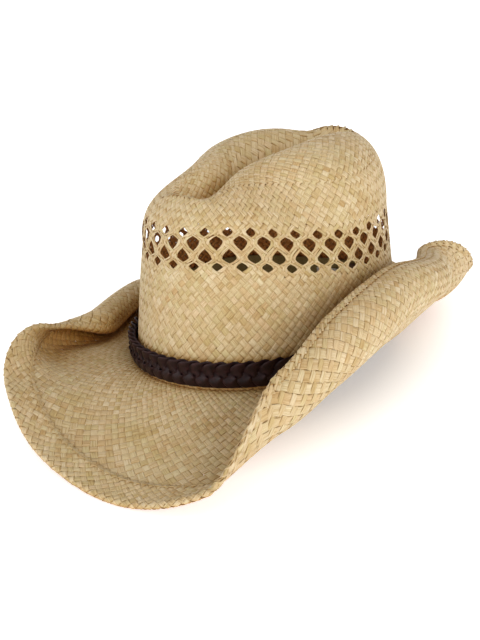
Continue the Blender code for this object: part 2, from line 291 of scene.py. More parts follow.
def dented(x, y, z):
    """The blocked crown after its crease is pressed in."""
    top = np.clip((z - 0.6 * WALL_H) / (0.4 * WALL_H + DOME_H), 0, 1)
    z = z + TOP_SLOPE * y * top
    middle = (DENT_FRONT_Y + DENT_BACK_Y) / 2
    along = np.clip(1 - np.abs((y - middle) / (DENT_BACK_Y - middle)) ** 4, 0, 1)
    depth = np.clip((z - WALL_H) / (0.6 * DOME_H), 0, 1)
    z = z - DENT_DEEP * np.exp(-((x / DENT_HALF_W) ** 2)) * along * depth
    near = ((y - SIDE_DENT_Y) / SIDE_DENT_RY) ** 2 + ((z - SIDE_DENT_Z) / SIDE_DENT_RZ) ** 2
    x = x - np.sign(x) * SIDE_DENT_IN * np.exp(-near) * np.clip(np.abs(x) / 0.030, 0, 1)
    return np.stack([x, y, z], -1)


def dome_share(z):
    """How far the crown has drawn in at this height, from 1 at the wall to 0 at the top."""
    q = np.clip((z - WALL_H) / DOME_H, 0, 1)
    return (1 - q**DOME_POWER) ** (1 / DOME_POWER)


def crown_at(t, z, share):
    """A point of the crown, at this height before the crease and this share of the wall's half axes."""
    z = z + headline_rise(t) * np.clip(1 - z / LEVEL_Z, 0, 1)
    half_x, half_y = wall_in(t, z)
    return dented(half_x * share * np.sin(t), -half_y * share * np.cos(t), z)


def brim_profile(t, along, above):
    """The brim at this run out from its inner edge, and this height above its top face."""
    t, along = np.broadcast_arrays(np.asarray(t, float), np.asarray(along, float))
    width = brim_w(t)[..., None] / 1000
    run = brim_run(t)[..., None] / 1000
    u = (np.arange(PROFILE_STEPS) + 0.5) / PROFILE_STEPS * width
    curl = np.clip((u - run) / (width - run), 0, 1) ** CURL_POWER
    start = np.clip(BREAK_START + (1 - BREAK_START) * u / BREAK_R, 0, 1)
    angle = np.radians(brim_slope(t)[..., None] * start + brim_turn(t)[..., None] * curl)
    step = width / PROFILE_STEPS
    out = np.concatenate([0 * width, np.cumsum(np.cos(angle) * step, -1)], -1)
    up = np.concatenate([0 * width, np.cumsum(np.sin(angle) * step, -1)], -1)
    place = np.clip(along / step[..., 0], 0, PROFILE_STEPS)
    i = np.minimum(place.astype(int), PROFILE_STEPS - 1)[..., None]
    f = place[..., None] - i
    # The angle is read between its steps, so that the weave's normals turn evenly.
    spot = np.clip(along / step[..., 0] - 0.5, 0, PROFILE_STEPS - 1)
    j = np.minimum(spot.astype(int), PROFILE_STEPS - 2)[..., None]
    g = spot[..., None] - j
    pick = np.take_along_axis
    a = (pick(angle, j, -1) * (1 - g) + pick(angle, j + 1, -1) * g)[..., 0]
    past = np.where(along > width[..., 0], along - width[..., 0], np.minimum(along, 0))
    d = (pick(out, i, -1) * (1 - f) + pick(out, i + 1, -1) * f)[..., 0] + past * np.cos(a)
    z = (pick(up, i, -1) * (1 - f) + pick(up, i + 1, -1) * f)[..., 0] + past * np.sin(a)
    return off_headline(t, BRIM_GAP + d - above * np.sin(a), z + above * np.cos(a))


HEAD = Vector(frame["record"]["mounts"][0]["pos_m"])
TURN = Euler((REST_PITCH, REST_LEAN, 0)).to_matrix()


def placed(points):
    """Points of the hat's own frame, where the hat rests."""
    return points @ np.array(TURN).T + np.array(HEAD)


# Woven straw. A straw is a run of samples with its place, its direction, its normal and its width. From one
# crossing to the next it has three samples, which go from over to under.
HAT_MIDDLE = np.array([0.0, 0.0, 0.04])
CELL_STEPS = (0.0, 0.33, 0.67)
CELL_RISE = (1.0, 0.8, -0.8)
NUDGE = 0.02


def ease(x):
    """A smooth step from 0 to 1."""
    x = np.clip(x, 0, 1)
    return x * x * (3 - 2 * x)


def unit(v):
    """The same directions, each of length 1."""
    return v / np.maximum(np.linalg.norm(v, axis=-1, keepdims=True), 1e-12)


def smooth_noise(count, every, size):
    """An even wander along a straw, with a new value about every so many samples."""
    knots = rng.normal(0, size, count // every + 3)
    return np.interp(np.arange(count) / every, np.arange(len(knots)), knots)


def closed(values):
    """A run of samples round the hat that ends where it starts."""
    return np.concatenate([values, values[:1]])


def flat_outward(t):
    """The headline's outward direction as a level direction in space."""
    return np.concatenate([outward(t), 0 * t[:, None]], -1)


class Straws:
    """Collects ribbons of one object, then makes its mesh. inner is how much of the painted warm shade on the
    inner side shows.
    """

    def __init__(self, name, section, inner=0.0):
        self.name = name
        self.inner = inner
        self.section = np.asarray(section, float)
        self.points, self.faces, self.ends, self.facts = [], [], [], []
        self.count = 0

    def add(self, middle, direction, normal, width, thickness, tone):
        """One ribbon. The section's points are (across, up), as shares of half the width and thickness."""
        side = np.cross(normal, direction)
        half = (width / 2)[:, None, None]
        across = self.section[None, :, 0, None] * side[:, None, :] * half
        up = self.section[None, :, 1, None] * normal[:, None, :] * (thickness / 2)
        points = middle[:, None, :] + across + up
        steps, corners = points.shape[:2]
        i = np.arange(steps - 1)[:, None] * corners + self.count
        j = np.arange(corners)[None]
        k = (j + 1) % corners
        quads = np.stack([i + j, i + k, i + corners + k, i + corners + j], -1).reshape(-1, 4)
        self.faces.append(quads)
        last = self.count + (steps - 1) * corners
        self.ends += [self.count + np.arange(corners)[::-1], last + np.arange(corners)]
        self.points.append(points.reshape(-1, 3))
        pieces = np.linalg.norm(np.diff(middle, axis=0), axis=1)
        length = np.concatenate([[0], np.cumsum(pieces)])
        facts = np.zeros((steps, corners, 4))
        facts[..., 0] = length[:, None]
        facts[..., 1] = self.section[None, :, 0] * (width / 2)[:, None]
        facts[..., 2] = tone
        # The mask of the painted inner shade: a straw's underside, fading out above the given height.
        low = 1 - ease((points[..., 2] - PAINTED_INNER_TOP) / PAINTED_INNER_FADE)
        facts[..., 3] = self.inner * np.clip(-self.section[None, :, 1], 0, 1) * low
        self.facts.append(facts.reshape(-1, 4))
        self.count += steps * corners

    def make(self, material, body, slot):
        """The piece, which rides on this body. Its mesh carries the facts that the materials read."""
        points = placed(np.concatenate(self.points))
        quads = np.concatenate(self.faces)
        ends = np.stack(self.ends)
        loops = np.concatenate([quads.reshape(-1), ends.reshape(-1)]).astype(np.int32)
        sizes = np.concatenate([np.full(len(quads), 4), np.full(len(ends), ends.shape[1])])
        mesh = bpy.data.meshes.new(self.name)
        mesh.vertices.add(len(points))
        mesh.vertices.foreach_set("co", points.astype(np.float32).reshape(-1))
        mesh.loops.add(len(loops))
        mesh.loops.foreach_set("vertex_index", loops)
        mesh.polygons.add(len(sizes))
        mesh.polygons.foreach_set("loop_start", (np.cumsum(sizes) - sizes).astype(np.int32))
        mesh.polygons.foreach_set("loop_total", sizes.astype(np.int32))
        mesh.update(calc_edges=True)
        mesh.validate()
        facts = np.concatenate(self.facts)
        for column, word in enumerate(("along", "across", "tone", "inner")):
            layer = mesh.attributes.new(word, "FLOAT", "POINT")
            layer.data.foreach_set("value", np.ascontiguousarray(facts[:, column], np.float32))
        mesh.shade_smooth()
        piece = bpy.data.objects.new(self.name, mesh)
        bpy.context.scene.collection.objects.link(piece)
        mesh.materials.append(material)
        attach(piece, body)
        return piece


def spread(t):
    """Even steps round the oval crown, as steps of its angle."""
    return t + SPREAD * np.sin(2 * t)


def vent_height(t, row):
    """The height of a row of vents, higher at the front than at the back."""
    from_front = np.arccos(np.clip(np.cos(t), -1, 1))
    front = (1 + np.cos(np.pi * np.clip((from_front - RISE_FROM) / RISE_OVER, 0, 1))) / 2
    return VENT_ROW_Z[row] + VENT_ROW_RISE[row] * front


def dome_arc(t):
    """The dome's way down from its top: its drawing in, its height and the length at each step."""
    turn = np.linspace(0, np.pi / 2, DOME_STEPS)
    share = np.sin(turn) ** (2 / DOME_POWER)
    rise = np.cos(turn) ** (2 / DOME_POWER)
    half_x, half_y = wall_in(t, WALL_H + 0 * t)
    half = np.hypot(half_x * np.sin(t), half_y * np.cos(t))[:, None]
    step = np.hypot(np.diff(share) * half, np.diff(rise) * DOME_H)
    length = np.concatenate([0 * half, np.cumsum(step, -1)], -1)
    return share, rise, length


def down_dome(t, length):
    """The drawing in and the height of the point this far down from the crown's top."""
    share, rise, lengths = dome_arc(t)
    i = np.clip((lengths <= length[:, None]).sum(-1) - 1, 0, DOME_STEPS - 2)
    rows = np.arange(len(t))
    low, high = lengths[rows, i], lengths[rows, i + 1]
    f = np.clip((length - low) / (high - low), 0, 1)
    past = np.maximum(length - lengths[:, -1], 0)
    z = WALL_H + DOME_H * (rise[i] * (1 - f) + rise[i + 1] * f) - past
    return share[i] * (1 - f) + share[i + 1] * f, z


def last_row_down(t):
    """How far down from the crown's top the last row of vents is."""
    _, rise, lengths = dome_arc(t)
    z = vent_height(t, 3)
    heights = WALL_H + DOME_H * rise
    i = np.clip((heights >= z[:, None]).sum(-1) - 1, 0, DOME_STEPS - 2)
    rows = np.arange(len(t))
    f = np.clip((heights[i] - z) / (heights[i] - heights[i + 1]), 0, 1)
    on_dome = lengths[rows, i] * (1 - f) + lengths[rows, i + 1] * f
    return on_dome + np.maximum(WALL_H - z, 0)


def row_height(t, s):
    """The crown's height where a straw has climbed s rows, up to the last row of vents, as a smooth curve
    through the foot, a point half way to the vents, and the rows of vents."""
    x = np.array([-2.0, 0, 6, *ROW_S, ROW_S[-1] + 2])
    low = FOOT_UP + 0 * t
    rows = [vent_height(t, row) for row in range(4)]
    y = np.stack([low - ROW_PAST, low, low + (rows[0] - low) * 0.5, *rows, rows[-1] + ROW_PAST])
    rise = np.diff(y, axis=0) / np.diff(x)[:, None]
    slope = np.concatenate([rise[:1], (rise[1:] + rise[:-1]) / 2, rise[-1:]])
    s = np.clip(s, x[0], x[-1])
    i = np.clip(np.searchsorted(x, s, side="right") - 1, 0, len(x) - 2)
    h = x[i + 1] - x[i]
    u = (s - x[i]) / h
    at = np.arange(len(t))
    ends = (1 + 2 * u) * (1 - u) ** 2 * y[i, at] + u * u * (3 - 2 * u) * y[i + 1, at]
    return ends + h * u * (1 - u) * ((1 - u) * slope[i, at] - u * slope[i + 1, at])


def wall_point(theta, s):
    """A point of the crown wall, theta in straws round and s in rows up."""
    t = spread(theta * 2 * np.pi / CROWN_STRAWS)
    z = row_height(t, s)
    share = dome_share(z)
    top = last_row_down(t)
    length = top - TIP_DOWN * (s - ROW_S[-1]) / (EDGE_S - ROW_S[-1])
    dome, height = down_dome(t, length)
    late = s > ROW_S[-1]
    return crown_at(t, np.where(late, height, z), np.where(late, dome, share))


def boundary_turn():
    """How far the tip's edge angles differ from even steps, for tip_point."""
    c = np.linspace(0, CROWN_STRAWS, 8 * CROWN_STRAWS, endpoint=False)
    corner = TIP_W / 2
    edge = np.select(
        [c < TIP_W, c < TIP_W + TIP_H, c < 2 * TIP_W + TIP_H],
        [c - corner, corner + 0 * c, TIP_W + TIP_H + corner - c],
        -corner + 0 * c,
    )
    rise = np.select(
        [c < TIP_W, c < TIP_W + TIP_H, c < 2 * TIP_W + TIP_H],
        [0 * c, c - TIP_W, TIP_H + 0 * c],
        2 * (TIP_W + TIP_H) - c,
    )
    u, v = to_disc(edge, rise)
    even = (c - corner) * 2 * np.pi / CROWN_STRAWS
    seen = np.arctan2(u, -v)
    off = np.angle(np.exp(1j * (even - seen)))
    order = np.argsort(seen)
    return seen[order], off[order]


def to_disc(x, y):
    """The tip's rectangle, drawn out into a disc."""
    a = np.clip(x / (TIP_W / 2), -1, 1)
    b = np.clip(y / (TIP_H / 2) - 1, -1, 1)
    return a * np.sqrt(1 - b * b / 2), b * np.sqrt(1 - a * a / 2)


TURN_AT, TURN_BY = boundary_turn()


def tip_point(x, y):
    """A point of the crown's top, where the straws cross on a plain rectangle."""
    u, v = to_disc(x, y)
    r = np.clip(np.hypot(u, v), 0, 1)
    seen = np.arctan2(u, -v)
    theta = seen + np.interp(seen, TURN_AT, TURN_BY, period=2 * np.pi) * r**2
    t = spread(theta)
    shape = u.shape
    t, r = t.reshape(-1), r.reshape(-1)
    share, z = down_dome(t, r * (last_row_down(t) - TIP_DOWN))
    return crown_at(t, z, share).reshape(*shape, 3)


def vent_grip(s):
    """How firmly the straws are drawn together at this row, from 0 to 1."""
    return ease((s - VENT_FROM) / VENT_EASE) * ease((VENT_TO - s) / VENT_EASE)


def vent_sway(s):
    """How far a bundle sways aside at this row, in straws."""
    return -VENT_SWAY * np.sin(2 * np.pi * s / 1.5) * vent_grip(s)


def crossings(kind, family):
    """The rows where a straw crosses the others. Its kind is its place in its bundle of three."""
    k = np.arange(2 * EDGE_S + 1)
    if family == "A":
        j = np.full(len(k), kind)
        i = (kind + k + 1) % 3 - 1
    else:
        i = np.full(len(k), kind)
        j = (kind - k + 1) % 3 - 1
    goal = 1.5 * (k + j - i) / 3
    s = k / 2.0
    for _ in range(SETTLE_ROUNDS):
        pinch = (i - j) * (1 - VENT_PINCH * vent_grip(s)) / 2
        s = s + 0.5 * (goal + pinch - vent_sway(s) - s)
    return s


def between(places):
    """Samples of every cell from one crossing to the next, and their rise and fall."""
    gaps = np.diff(places)
    s = (places[:-1, None] + gaps[:, None] * np.array(CELL_STEPS)).reshape(-1)
    sign = np.where(np.arange(len(gaps)) % 2 == 0, 1.0, -1.0)
    rise = (sign[:, None] * np.array(CELL_RISE)).reshape(-1)
    return np.append(s, places[-1]), np.append(rise, 1.0 if len(gaps) % 2 == 0 else -1.0)


def wall_run(family, index, s):
    """A wall straw's places round the crown at these rows."""
    kind = (index + 1) % 3 - 1
    bundle = (index - kind) / 3
    grip = 1 - VENT_PINCH * vent_grip(s)
    way = 1 if family == "A" else -1
    return 3 * bundle + kind * grip + way * (s + vent_sway(s)), grip


def tip_runs():
    """Each straw across the tip: its way over, its start, its length, and the wall straws at its ends."""
    side = TIP_W / 2
    top = TIP_W + TIP_H
    for way in (1, -1):
        starts = [(float(x), 0.0) for x in range(-(TIP_W // 2), TIP_W // 2 + 1)]
        starts += [(-way * side, y + 0.5) for y in range(TIP_H)]
        for x, y in starts:
            length = min(side - way * x, TIP_H - y)
            end_x, end_y = x + way * length, y + length
            if y == 0:
                first = ("A", x - EDGE_S) if way > 0 else ("B", x + EDGE_S)
            elif way > 0:
                first = ("B", top + side + TIP_H - y + EDGE_S)
            else:
                first = ("A", side + y - EDGE_S)
            if end_y == TIP_H:
                theta = top - end_x
                last = ("A", theta - EDGE_S) if way > 0 else ("B", theta + EDGE_S)
            elif way > 0:
                last = ("B", side + end_y + EDGE_S)
            else:
                last = ("A", top + side + TIP_H - end_y - EDGE_S)
            yield way, x, y, length, first, last


def off_crown(points):
    """A direction that leaves the crown's outer side anywhere, also inside its creases."""
    return np.array([0.0, 0.0, 1.0]) + 0.6 * unit(points - HAT_MIDDLE)


def crown_path(run, up, down, at, nudge):
    """One crown straw's middle line and grips: up the wall, over the tip and down again."""
    way, x, y, length = run
    points = np.zeros((len(at), 3))
    grips = np.ones(len(at))
    low = at < EDGE_S
    theta, grips[low] = wall_run(*up, at[low])
    points[low] = wall_point(theta + nudge, at[low])
    middle = (at >= EDGE_S) & (at <= EDGE_S + length)
    d = at[middle] - EDGE_S
    points[middle] = tip_point(x + way * d + nudge, y + d)
    high = at > EDGE_S + length
    s = 2 * EDGE_S + length - at[high]
    theta, grips[high] = wall_run(*down, s)
    points[high] = wall_point(theta + nudge, s)
    return points, grips


def wall_straw(family, index):
    """A straw's family and its number round the wall, and the rows where it crosses the others."""
    index = int(round(index)) % CROWN_STRAWS
    return (family, index), crossings((index + 1) % 3 - 1, family)


def weave_crown(straw):
    """The crown's straws, each in one run from foot to foot."""
    # The crown's straws carry the painted inner shade in full.
    groups = {1: Straws("crown_straws_left", STRAW_5, 1.0), -1: Straws("crown_straws_right", STRAW_5, 1.0)}
    for way, x, y, length, first, last in tip_runs():
        run = (way, x, y, length)
        up, rows_up = wall_straw(*first)
        down, rows_down = wall_straw(*last)
        over = np.arange(0, 2 * length + 1) / 2
        falls = EDGE_S + length + EDGE_S - rows_down[::-1]
        at, rise = between(np.concatenate([rows_up, EDGE_S + over[1:], falls[1:]]))
        if up[0] == "B":
            rise = -rise
        middle, grips = crown_path(run, up, down, at, 0.0)
        ahead, behind = (crown_path(run, up, down, at, nudge)[0] for nudge in (NUDGE, -NUDGE))
        aside = (ahead - behind) / (2 * NUDGE)
        add_straw(groups[way], middle, aside, grips, rise, off_crown(middle), -STRAW_SINK)
    for group in groups.values():
        piece = group.make(straw, "hat", "straw")
        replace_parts(piece, "crown")


def add_straw(group, middle, aside, grips, rise, outwards, sink):
    """Lays one straw over and under along its middle line. outwards only says which side is the outer one."""
    direction = unit(np.gradient(middle, axis=0))
    normal = unit(np.cross(direction, aside))
    normal *= np.sign((normal * outwards).sum(-1, keepdims=True))
    across = aside - (aside * direction).sum(-1, keepdims=True) * direction
    wide = np.linalg.norm(across, axis=-1) * grips
    side = np.cross(normal, direction)
    count = len(middle)
    wander = smooth_noise(count, 5, STRAW_WANDER)[:, None] * side
    swell = 1 + smooth_noise(count, 3, SWELL_ALONG) + rng.normal(0, SWELL_EACH)
    lift = rise * STRAW_RISE * (1 + smooth_noise(count, 4, RISE_UNEVEN)) + sink
    width = wide * STRAW_FILL * np.clip(swell, SWELL_LEAST, SWELL_MOST) * (1 + GRIPPED_SWELL * (1 - grips))
    middle = middle + wander + lift[:, None] * normal
    direction = unit(np.gradient(middle, axis=0))
    upright = unit(np.cross(direction, np.cross(normal, direction)))
    group.add(middle, direction, upright, width, STRAW_T, rng.random())


def brim_run_out(t, s):
    """How far out along the brim a straw is after s rows. The rows widen outwards."""
    share = s / BRIM_ROWS
    return brim_w(t) / 1000 * share * (1 - ROW_WIDEN + ROW_WIDEN * share)


def weave_sheet(name, straws, rows, point):
    """Two families of straws, woven over a sheet that runs round the hat. Returns both families."""
    groups = []
    places = np.arange(2 * rows + 1) / 2
    at, rise = between(places)
    for way in (1, -1):
        group = Straws(f"{name}_{'left' if way > 0 else 'right'}", STRAW_6)
        for index in range(straws):
            theta = index + way * at
            middle, ahead, behind = (
                point((theta + nudge) * 2 * np.pi / straws, at) for nudge in (0.0, NUDGE, -NUDGE)
            )
            aside = (ahead - behind) / (2 * NUDGE)
            up = unit(np.cross(np.gradient(middle, axis=0), aside))
            add_straw(group, middle, aside, 1.0 + 0 * at, way * rise, up, 0)
        groups.append(group)
    return groups


def brim_point(t, s):
    """A point in the middle of the brim's thickness, s rows out."""
    return brim_profile(t, brim_run_out(t, s), -BRIM_T / 2 + 0 * t)


def hem_point(t, s):
    """The hem runs out over the brim's top, round the wire, and back a little way below."""
    w = brim_w(t) / 1000
    bend = np.pi * HEM_ROUND
    flat = HEM_W + WIRE_OUT
    v = s / HEM_ROWS * (flat + bend + WIRE_OUT + HEM_TUCK)
    a = np.clip((v - flat) / HEM_ROUND, 0, np.pi)
    past = np.maximum(v - flat - bend, 0)
    x = np.minimum(v, flat) - HEM_W + HEM_ROUND * np.sin(a) - past
    drop = (1 - ease(v / HEM_EDGE)) * HEM_DROP
    close = ease((past - HEM_TUCK + TUCK_EDGE) / TUCK_EDGE) * TUCK_CLOSE
    above = -BRIM_T / 2 + HEM_ROUND * np.cos(a) - drop + close
    return brim_profile(t, w + x, above)


def weave_brim(straw, hem_straw):
    """The brim, and the hem folded over its edge."""
    for group in weave_sheet("brim_straws", BRIM_STRAWS, BRIM_ROWS, brim_point):
        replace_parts(group.make(straw, "hat", "straw"), "brim")
    for group in weave_sheet("hem_straws", HEM_STRAWS, HEM_ROWS, hem_point):
        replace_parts(group.make(hem_straw, "hat", "straw_hem"), "brim_hem")


# Materials.
def new_material(name):
    """A new material, its node tree and its shader."""
    material = bpy.data.materials.new(name)
    material.use_nodes = True
    tree = material.node_tree
    return material, tree, tree.nodes["Principled BSDF"]


def node(tree, kind, **settings):
    """A new node with these settings."""
    made = tree.nodes.new(kind)
    for word, value in settings.items():
        setattr(made, word, value)
    return made


def feed(tree, socket, value):
    """Gives a socket a number, a colour or another node's output."""
    if isinstance(value, tuple):
        socket.default_value = (*value, 1)
    elif isinstance(value, (int, float)):
        socket.default_value = value
    else:
        tree.links.new(value, socket)


def fact(tree, word):
    """One of the facts that Straws stores: along and across in metres, tone and inner (the mask of the
    painted inner shade) from 0 to 1.
    """
    return node(tree, "ShaderNodeAttribute", attribute_name=word).outputs["Fac"]


def math_node(tree, operation, a, b=0.0):
    """One step of arithmetic on numbers or outputs."""
    made = node(tree, "ShaderNodeMath", operation=operation)
    for socket, value in zip(made.inputs, (a, b)):
        feed(tree, socket, value)
    return made.outputs[0]


def times(tree, value, factor):
    return math_node(tree, "MULTIPLY", value, factor)


def combine(tree, x, y, z):
    made = node(tree, "ShaderNodeCombineXYZ")
    for socket, value in zip(made.inputs, (x, y, z)):
        feed(tree, socket, value)
    return made.outputs[0]


def noise(tree, vector, scale, detail=2.0, roughness=0.5):
    made = node(tree, "ShaderNodeTexNoise")
    made.inputs["Scale"].default_value = scale
    made.inputs["Detail"].default_value = detail
    made.inputs["Roughness"].default_value = roughness
    tree.links.new(vector, made.inputs["Vector"])
    return made.outputs["Fac"]


def ramp(tree, value, stops):
    """A colour for each value, from (place, colour) stops."""
    made = node(tree, "ShaderNodeValToRGB")
    elements = made.color_ramp.elements
    while len(elements) < len(stops):
        elements.new(0.5)
    for element, (place, colour) in zip(elements, stops):
        element.position = place
        element.color = (*colour, 1)
    tree.links.new(value, made.inputs["Fac"])
    return made.outputs["Color"]


def mix(tree, kind, share, a, b):
    made = node(tree, "ShaderNodeMix", data_type="RGBA", blend_type=kind)
    made.clamp_result = True
    for place, value in ((0, share), (6, a), (7, b)):
        feed(tree, made.inputs[place], value)
    return made.outputs[2]


def bump(tree, height, strength, distance=0.0003):
    made = node(tree, "ShaderNodeBump")
    made.inputs["Strength"].default_value = strength
    made.inputs["Distance"].default_value = distance
    tree.links.new(height, made.inputs["Height"])
    return made.outputs["Normal"]


def straw_material(name):
    """Raffia: long fine fibres and broad bands, each straw its own shade of cream, tan or yellow-green, with
    a painted warm shade on the crown's inner side and in deep folds.
    """
    material, tree, shader = new_material(name)
    along, across, tone = (fact(tree, word) for word in ("along", "across", "tone"))
    apart = times(tree, tone, 37.0)
    fibre_place = combine(tree, times(tree, across, 5200.0), times(tree, along, 110.0), apart)
    fibres = noise(tree, fibre_place, 1.0, 3.0, 0.6)
    wide_place = combine(tree, times(tree, across, 1500.0), times(tree, along, 45.0), apart)
    bands = noise(tree, wide_place, 1.0)
    slow = noise(tree, combine(tree, 0.0, times(tree, along, 38.0), apart), 1.0)
    shade = ramp(tree, slow, [
        (0.20, (0.53, 0.37, 0.175)), (0.38, (0.61, 0.46, 0.255)), (0.50, (0.66, 0.525, 0.325)),
        (0.62, (0.70, 0.57, 0.375)), (0.80, (0.76, 0.65, 0.46)),
    ])
    hue = noise(tree, combine(tree, 3.0, times(tree, along, 20.0), apart), 1.0, 1.0)
    tint = ramp(tree, hue, [(0.30, (0.88, 0.93, 0.74)), (0.5, WHITE), (0.70, (1.0, 0.88, 0.82))])
    shade = mix(tree, "MULTIPLY", 0.45, shade, tint)
    streak = ramp(tree, fibres, [(0.34, (0.62, 0.50, 0.36)), (0.50, WHITE), (0.75, (1.06, 1.06, 1.06))])
    shade = mix(tree, "MULTIPLY", 0.65, shade, streak)
    broad = ramp(tree, bands, [(0.34, (0.78, 0.69, 0.54)), (0.50, WHITE)])
    shade = mix(tree, "MULTIPLY", 0.75, shade, broad)
    shade = mix(tree, "MULTIPLY", 1.0, shade, STRAW_BRIGHT)
    # Painted warm shade on the straws' inner side inside the crown.
    inner = math_node(tree, "MINIMUM", times(tree, fact(tree, "inner"), 4.0), 1.0)
    shade = mix(tree, "MULTIPLY", inner, shade, PAINTED_INNER_SHADE)
    # Painted shade: the straw is darkened to a golden brown where it lies deep in a fold, by how hidden it is
    # from its surroundings.
    fold = node(tree, "ShaderNodeAmbientOcclusion", samples=6)
    fold.inputs["Distance"].default_value = PAINTED_FOLD_REACH
    painted_fold_shade = ramp(tree, fold.outputs["AO"], [
        (0.12, (0.62, 0.33, 0.08)), (0.36, (0.86, 0.68, 0.38)), (0.60, (0.98, 0.94, 0.86)), (0.8, WHITE),
    ])
    shade = mix(tree, "MULTIPLY", 1.0, shade, painted_fold_shade)
    tree.links.new(shade, shader.inputs["Base Color"])
    height = math_node(tree, "ADD", fibres, times(tree, bands, 0.8))
    tree.links.new(bump(tree, height, 0.55), shader.inputs["Normal"])
    shader.inputs["Roughness"].default_value = 0.55
    shader.inputs["Specular IOR Level"].default_value = 0.32
    shader.inputs["Sheen Weight"].default_value = 0.06
    return material


def leather_material():
    """Very dark brown strap leather: fine grain, a soft sheen, and edges rubbed a little paler."""
    material, tree, shader = new_material("strap_leather")
    along, across, tone = (fact(tree, word) for word in ("along", "across", "tone"))
    place = combine(tree, times(tree, along, 1000.0), times(tree, across, 1000.0), times(tree, tone, 40.0))
    cells = node(tree, "ShaderNodeTexVoronoi", feature="DISTANCE_TO_EDGE")
    cells.inputs["Scale"].default_value = 1.7
    tree.links.new(place, cells.inputs["Vector"])
    pores = cells.outputs["Distance"]
    wear = noise(tree, place, 0.35, 3.0, 0.6)
    colour = ramp(tree, wear, [
        (0.30, (0.012, 0.0045, 0.0045)), (0.55, (0.027, 0.0095, 0.0095)), (0.75, (0.052, 0.019, 0.020)),
    ])
    to_edge = math_node(tree, "ABSOLUTE", times(tree, across, 2 / STRAP_W))
    rub = math_node(tree, "POWER", to_edge, 6.0)
    colour = mix(tree, "MIX", times(tree, rub, 0.35), colour, (0.060, 0.025, 0.024))
    tree.links.new(colour, shader.inputs["Base Color"])
    rough = ramp(tree, wear, [(0.3, (0.36, 0.36, 0.36)), (0.7, (0.50, 0.50, 0.50))])
    tree.links.new(rough, shader.inputs["Roughness"])
    height = math_node(tree, "ADD", math_node(tree, "MINIMUM", pores, 0.12), times(tree, wear, 0.35))
    tree.links.new(bump(tree, height, 0.5, 0.00025), shader.inputs["Normal"])
    shader.inputs["Specular IOR Level"].default_value = 0.30
    shader.inputs["Sheen Weight"].default_value = 0.02
    return material


def position(tree):
    """The place on the piece itself, in metres."""
    return node(tree, "ShaderNodeTexCoord").outputs["Object"]


def parts_of(tree, vector):
    """A vector's three numbers."""
    made = node(tree, "ShaderNodeSeparateXYZ")
    tree.links.new(vector, made.inputs[0])
    return made.outputs


def cloth_material(name, light, dark, pitch):
    """A plain weave of thin yarns, this pitch apart, seen as small bumps with uneven slubs."""
    material, tree, shader = new_material(name)
    place = position(tree)
    x, y, z = parts_of(tree, place)
    run = math_node(tree, "ARCTAN2", x, y)
    round_wave = math_node(tree, "SINE", times(tree, run, BAND_R * 2 * np.pi / pitch))
    up_wave = math_node(tree, "SINE", times(tree, z, 2 * np.pi / pitch))
    yarns = math_node(tree, "MULTIPLY", round_wave, up_wave)
    slubs = noise(tree, place, 900.0, 3.0, 0.6)
    stain = noise(tree, place, 60.0)
    colour = ramp(tree, stain, [(0.3, dark), (0.7, light)])
    fleck = ramp(tree, slubs, [(0.35, (0.78, 0.76, 0.72)), (0.6, WHITE)])
    tree.links.new(mix(tree, "MULTIPLY", 0.8, colour, fleck), shader.inputs["Base Color"])
    height = math_node(tree, "ADD", times(tree, yarns, 0.5), slubs)
    tree.links.new(bump(tree, height, 0.6), shader.inputs["Normal"])
    shader.inputs["Roughness"].default_value = 0.9
    shader.inputs["Specular IOR Level"].default_value = 0.2
    shader.inputs["Sheen Weight"].default_value = 0.15
    return material


def fine_material(name, stops, scale, rough, metal=0.0, strength=0.4):
    """A small part's material: mottled colour and a fine uneven surface."""
    material, tree, shader = new_material(name)
    mottle = noise(tree, position(tree), scale, 4.0, 0.6)
    tree.links.new(ramp(tree, mottle, stops), shader.inputs["Base Color"])
    tree.links.new(bump(tree, mottle, strength), shader.inputs["Normal"])
    shader.inputs["Roughness"].default_value = rough
    shader.inputs["Metallic"].default_value = metal
    return material


def thread_material(name, light, dark):
    """Twisted thread: slanting turns along each stitch."""
    material, tree, shader = new_material(name)
    along, across, tone = (fact(tree, word) for word in ("along", "across", "tone"))
    slant = math_node(tree, "ADD", times(tree, along, 9000.0), times(tree, across, 9000.0))
    turns = math_node(tree, "SINE", slant)
    shade = ramp(tree, math_node(tree, "ADD", times(tree, turns, 0.3), tone), [(0.1, dark), (0.9, light)])
    tree.links.new(shade, shader.inputs["Base Color"])
    tree.links.new(bump(tree, turns, 0.5, 0.0001), shader.inputs["Normal"])
    shader.inputs["Roughness"].default_value = 0.7
    return material


def dress(name, material):
    """Gives a CAD node its own finished material."""
    materials = frame["nodes"][name].data.materials
    materials.clear()
    materials.append(material)


